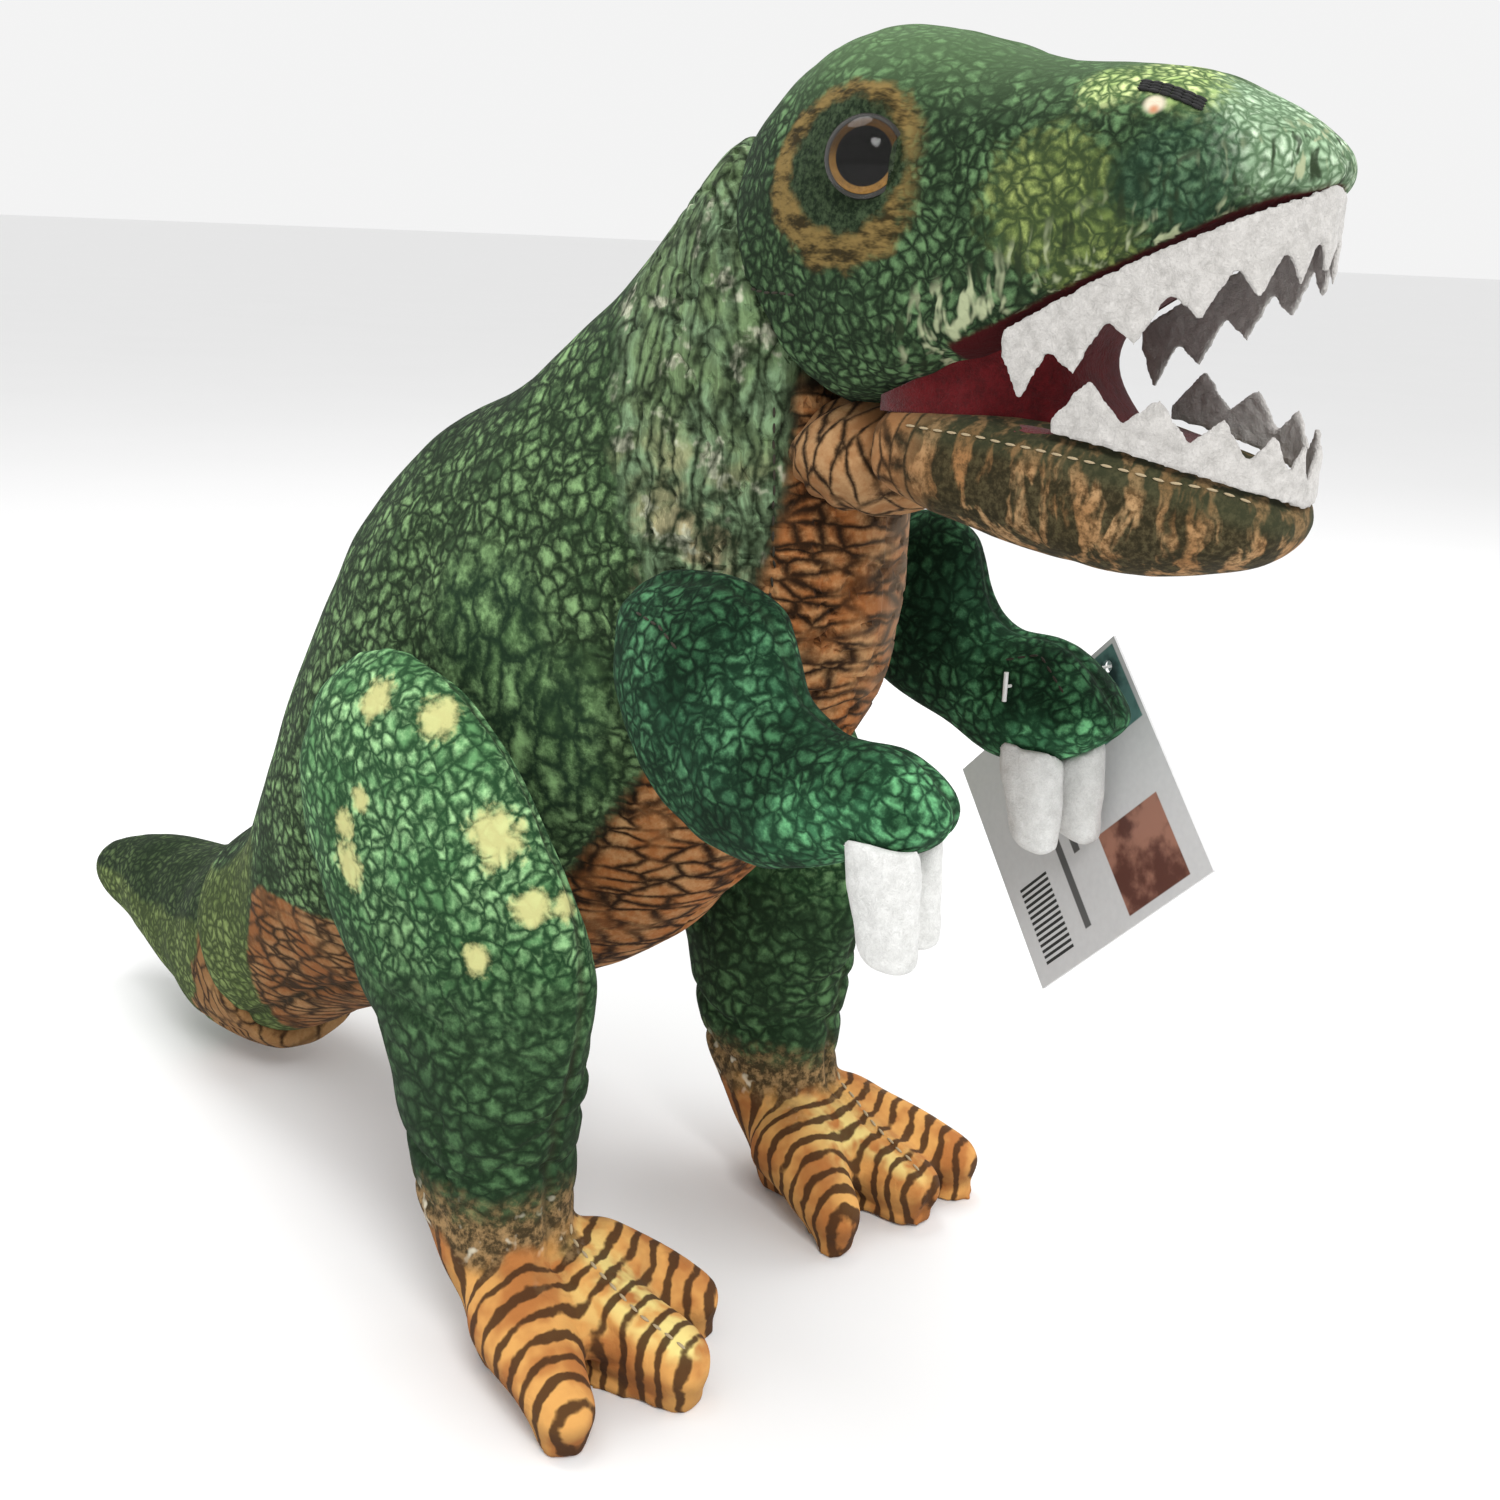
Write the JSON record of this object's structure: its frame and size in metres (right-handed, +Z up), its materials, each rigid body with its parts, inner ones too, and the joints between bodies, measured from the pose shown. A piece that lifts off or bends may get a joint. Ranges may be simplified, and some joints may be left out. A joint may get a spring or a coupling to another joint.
{
  "type": "stuffed toy dinosaur",
  "caption": "Standing two-legged stuffed dinosaur with a soft open mouth, felt teeth, dome eyes, short arms, fleece claws, three-toed feet and a short tail that rests on the floor.",
  "frame": {"origin": "centre of the bounding box in plan, on the floor", "axes": "+Z up, the toy faces -Y, its own right side is -X"},
  "size_m": [0.2174, 0.5478, 0.3961],
  "materials": {
    "green_plush": "short-pile printed plush",
    "orange_plush": "short-pile printed plush",
    "red_fleece": "matt fleece",
    "white_felt": "matt felt",
    "white_fleece": "matt fleece",
    "polyester_fill": "loose fibre",
    "clear_plastic": "gloss",
    "amber_plastic": "gloss",
    "black_plastic": "gloss",
    "white_plastic": "satin",
    "black_thread": "matt",
    "tag_card": "satin",
    "label_ribbon": "satin"
  },
  "bodies": {
    "torso": {"side_panel_right": "green_plush", "side_panel_left": "green_plush", "belly_panel": "orange_plush", "torso_stuffing": "polyester_fill", "care_label": "label_ribbon"},
    "tail": {"tail_panel_right": "green_plush", "tail_panel_left": "green_plush", "tail_under_panel": "orange_plush", "tail_stuffing": "polyester_fill"},
    "head": {"head_panel_right": "green_plush", "head_panel_left": "green_plush", "head_stuffing": "polyester_fill", "palate_lining": "red_fleece", "upper_teeth": "white_felt", "eye_lens_right": "clear_plastic", "eye_lens_left": "clear_plastic", "eye_iris_right": "amber_plastic", "eye_iris_left": "amber_plastic", "eye_stem_right": "black_plastic", "eye_stem_left": "black_plastic", "eye_washer_right": "white_plastic", "eye_washer_left": "white_plastic", "nostril_stitches": "black_thread"},
    "jaw": {"jaw_skin": "orange_plush", "jaw_lining": "red_fleece", "jaw_stuffing": "polyester_fill", "lower_teeth": "white_felt"},
    "arm_right": {"arm_outer_right": "green_plush", "arm_inner_right": "green_plush", "arm_stuffing_right": "polyester_fill", "claw_outer_right": "white_fleece", "claw_inner_right": "white_fleece"},
    "arm_left": {"arm_outer_left": "green_plush", "arm_inner_left": "green_plush", "arm_stuffing_left": "polyester_fill", "claw_outer_left": "white_fleece", "claw_inner_left": "white_fleece", "tag_fastener": "white_plastic"},
    "leg_right": {"leg_outer_right": "green_plush", "leg_inner_right": "green_plush", "sole_right": "orange_plush", "leg_stuffing_right": "polyester_fill"},
    "leg_left": {"leg_outer_left": "green_plush", "leg_inner_left": "green_plush", "sole_left": "orange_plush", "leg_stuffing_left": "polyester_fill"},
    "tag": {"hang_tag": "tag_card"}
  },
  "joints": [
    {"name": "head_nod", "type": "hinge", "parent": "torso", "child": "head", "pos_m": [0, -0.12515, 0.33685], "axis": [1, 0, 0], "range_deg": [-10, 10], "stiffness_Nm_per_rad": 6},
    {"name": "jaw_hinge", "type": "hinge", "parent": "head", "child": "jaw", "pos_m": [0, -0.164, 0.302], "axis": [1, 0, 0], "range_deg": [-12, 8], "stiffness_Nm_per_rad": 1.5},
    {"name": "tail_wag", "type": "hinge", "parent": "torso", "child": "tail", "pos_m": [0.00265, 0.13464, 0.05759], "axis": [0, 0.1836, 0.983], "range_deg": [-15, 15], "stiffness_Nm_per_rad": 3},
    {"name": "shoulder_right", "type": "hinge", "parent": "torso", "child": "arm_right", "pos_m": [-0.056, -0.13, 0.23], "axis": [1, 0, 0], "range_deg": [-25, 15], "stiffness_Nm_per_rad": 1},
    {"name": "shoulder_left", "type": "hinge", "parent": "torso", "child": "arm_left", "pos_m": [0.056, -0.13, 0.23], "axis": [1, 0, 0], "range_deg": [-25, 15], "stiffness_Nm_per_rad": 1},
    {"name": "hip_right", "type": "hinge", "parent": "torso", "child": "leg_right", "pos_m": [-0.075, -0.042, 0.165], "axis": [1, 0, 0], "range_deg": [-8, 8], "stiffness_Nm_per_rad": 8},
    {"name": "hip_left", "type": "hinge", "parent": "torso", "child": "leg_left", "pos_m": [0.075, -0.042, 0.165], "axis": [1, 0, 0], "range_deg": [-8, 8], "stiffness_Nm_per_rad": 8},
    {"name": "tag_swing", "type": "hinge", "parent": "arm_left", "child": "tag", "pos_m": [0.08809, -0.18099, 0.21429], "axis": [0.9291, -0.3382, -0.1495], "range_deg": [-20, 20]}
  ]
}
